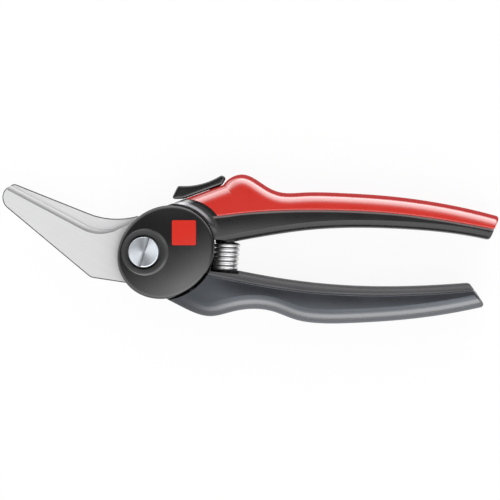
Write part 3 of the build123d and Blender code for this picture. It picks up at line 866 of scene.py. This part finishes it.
# Painted shade in the screw's slot.
slot_painted_shade = (0.55, 0.57, 0.60)
screw_shades = ((0.70, 0.75, 0.81), (0.86, 0.90, 0.95))
zinc_shades = ((0.55, 0.55, 0.56), (0.68, 0.68, 0.69))
wire_shades = ((0.66, 0.66, 0.67), (0.8, 0.8, 0.81))
bright_steel("screw_steel", screw_shades, gloss=(0.3, 0.4), rings=True, Anisotropic=0.8)
bright_steel("hardware_steel", zinc_shades, gloss=(0.3, 0.4))
bright_steel("spring_steel", wire_shades, gloss=(0.3, 0.38))
print("finishes:", sorted(finishes))

# %% [markdown]
# ## Dressing the solid pieces
# Most solid pieces already have their true shapes, so each keeps its mesh and only takes a better
# material. The coil spring and the thumb latch get meshes of their own further down.

# %% Materials on the solid pieces
dress = {
    "lower_blade": "front_blade_steel",
    "upper_blade": "rear_blade_steel",
    "upper_handle_core": "core_black",
    "lower_handle_core": "core_grey",
    "upper_grip": "grip_red",
    "lower_grip": "grip_grey",
    "front_hub_cover": "cover_black",
    "rear_hub_cover": "cover_black",
    "hub_badge": "badge_red",
    "pivot_screw": "screw_steel",
    "pivot_bush": "hardware_steel",
    "spring_washer": "spring_steel",
    "nut_washer": "hardware_steel",
    "pivot_nut": "hardware_steel",
    "latch_pin": "hardware_steel",
    "latch_leaf_spring": "spring_steel",
}
for name, finish in dress.items():
    for place in nodes[name].material_slots:
        place.material = finishes[finish]
print("dressed", len(dress), "of", len(nodes))

# %% [markdown]
# ## Walls behind the spring
# Each handle is moulded with a thin wall behind its end of the spring, so that no light comes through
# beside the coils. The solids have open notches there. Cutting into the handle's mesh would spoil its
# smooth shading, so each wall is a flat plate of its own that reaches into the handle: a face, set to the
# wall's corners and extruded, with its rim rounded by a bevel.


# %% Walls behind the spring
def spring_wall(name, corners, body, finish):
    """A flat plate with a rounded rim, as part of the handle that it rides with."""
    bpy.ops.object.select_all(action="DESELECT")
    bpy.ops.mesh.primitive_circle_add(vertices=len(corners), radius=mm, fill_type="NGON")
    wall = bpy.context.object
    wall.name = name
    for corner, (x, y) in zip(wall.data.vertices, corners):
        corner.co = (x * mm, y * mm, wall_back)
    bpy.ops.object.mode_set(mode="EDIT")
    bpy.ops.mesh.select_all(action="SELECT")
    bpy.ops.mesh.extrude_region_move(TRANSFORM_OT_translate={"value": (0, 0, wall_front - wall_back)})
    bpy.ops.mesh.select_all(action="SELECT")
    bpy.ops.mesh.normals_make_consistent(inside=False)
    bpy.ops.object.mode_set(mode="OBJECT")
    rim = wall.modifiers.new("rim", "BEVEL")
    rim.width = wall_round
    rim.segments = wall_round_steps
    bpy.ops.object.modifier_apply(modifier="rim")
    bpy.ops.object.shade_smooth_by_angle(angle=smooth_below)
    wall.data.materials.append(finishes[finish])
    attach(wall, body)
    print(name, "has", len(wall.data.polygons), "faces")


foot_wall = [(25.4, -9.6), (36.9, -9.6), (36.9, -7.3), (33.0, -6.4), (28.6, -4.4), (27.4, -1.6),
             (26.0, -1.6)]
head_wall = [(27.4, 3.4), (31.0, 3.4), (31.0, 6.2), (27.4, 5.8)]
wall_back = 1.7 * mm
wall_front = 3.2 * mm
wall_round = 0.3 * mm
wall_round_steps = 3
smooth_below = radians(40)
spring_wall("spring_foot_wall", foot_wall, "lower_handle", "core_grey")
spring_wall("spring_head_wall", head_wall, "upper_handle", "core_black")

# %% [markdown]
# ## Coil spring
# The spring is squeezed between the two handles and lengthens as they open. A stiff copy of the solid
# would tear away from one handle; here the wire is wound as one mesh of its own. It starts as a circle,
# the wire's section, which the Screw modifier winds into a helix, and then its ends are closed.

# %% Wound wire
spring_foot = Vector((31.0, -8.0, 8.525)) * mm
spring_head = Vector((32.3, 4.4, 8.525)) * mm
spring_radius = 5.0 * mm
wire_radius = 0.8 * mm
seat_play = 0.15 * mm
spring_coils = 6.0
wire_sides = 16
steps_per_coil = 40

spring_axis = spring_head - spring_foot
end_space = wire_radius + seat_play
bpy.ops.object.select_all(action="DESELECT")
wire_centre = (spring_radius - wire_radius, 0, 0)
bpy.ops.mesh.primitive_circle_add(
    vertices=wire_sides, radius=wire_radius, location=wire_centre, rotation=(pi / 2, 0, 0)
)
coil = bpy.context.object
coil.name = "spring_coil"
bpy.ops.object.transform_apply(location=True, rotation=True, scale=True)
winding = coil.modifiers.new("winding", "SCREW")
winding.angle = 2 * pi * spring_coils
winding.screw_offset = spring_axis.length - 2 * end_space
winding.steps = winding.render_steps = round(steps_per_coil * spring_coils)
bpy.ops.object.modifier_apply(modifier="winding")
bpy.ops.object.mode_set(mode="EDIT")
bpy.ops.mesh.select_all(action="SELECT")
bpy.ops.mesh.fill_holes(sides=0)
bpy.ops.mesh.select_all(action="SELECT")
bpy.ops.mesh.normals_make_consistent(inside=False)
bpy.ops.object.mode_set(mode="OBJECT")
print("wire", 2 * wire_radius / mm, "mm thick, wound", spring_coils, "times")

# %% [markdown]
# ## Spring in its seats
# The coil stands upright at the origin. It is laid along the line between its two seats and turned about
# it until the wire's cut ends lie at the back, out of sight. That place goes into the mesh.

# %% Spring in its seats
ends_turn = radians(-90)
coil_start = spring_foot + spring_axis.normalized() * end_space
upright = spring_axis.to_track_quat("Z", "Y").to_matrix().to_4x4()
coil.matrix_world = Matrix.Translation(coil_start) @ upright @ Matrix.Rotation(ends_turn, 4, "Z")
bpy.ops.object.transform_apply(location=True, rotation=True, scale=True)
bpy.ops.object.shade_smooth_by_angle(angle=smooth_below)
coil.data.materials.append(finishes["spring_steel"])
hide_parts("handle_spring")
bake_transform(coil)
print("spring:", len(coil.data.polygons), "faces")

# %% [markdown]
# ## Thumb latch
# The thumb rubs every edge of the latch, so on the real tool they are all well rounded, the corners most
# of all. The solid has even roundings of under a millimetre. Wider ones could be bevelled edge by edge,
# but they would collide at the corners. Here a copy of the solid is rebuilt as an even fine mesh and
# smoothed, as if it were tumbled with abrasive: sharp corners wear the most and flat faces stay. A last
# step takes a thin layer off all over, so that the latch stays clear of its bed.

# %% Copy of the latch
bpy.ops.object.select_all(action="DESELECT")
worn = bpy.data.objects.new("latch_body", nodes["thumb_latch"].data.copy())
scene.collection.objects.link(worn)
worn.select_set(True)
bpy.context.view_layer.objects.active = worn
weld_distance = 0.001 * mm
bpy.ops.object.mode_set(mode="EDIT")
bpy.ops.mesh.select_all(action="SELECT")
bpy.ops.mesh.remove_doubles(threshold=weld_distance)
bpy.ops.object.mode_set(mode="OBJECT")
print("latch copied with", len(worn.data.polygons), "triangles")

# %% Tumbled latch
tumble_grid = 0.22 * mm
tumble_share = 0.5
tumble_rounds = 40
tumble_wear = 0.12 * mm

grid = worn.modifiers.new("grid", "REMESH")
grid.mode = "VOXEL"
grid.voxel_size = tumble_grid
tumble = worn.modifiers.new("tumble", "SMOOTH")
tumble.factor = tumble_share
tumble.iterations = tumble_rounds
wear = worn.modifiers.new("wear", "DISPLACE")
wear.mid_level = 0.0
wear.strength = -tumble_wear
for step in ("grid", "tumble", "wear"):
    bpy.ops.object.modifier_apply(modifier=step)
bpy.ops.object.shade_smooth()
worn.data.materials.clear()
worn.data.materials.append(finishes["latch_black"])
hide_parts("thumb_latch")
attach(worn, "latch")
print("latch:", len(worn.data.polygons), "faces")
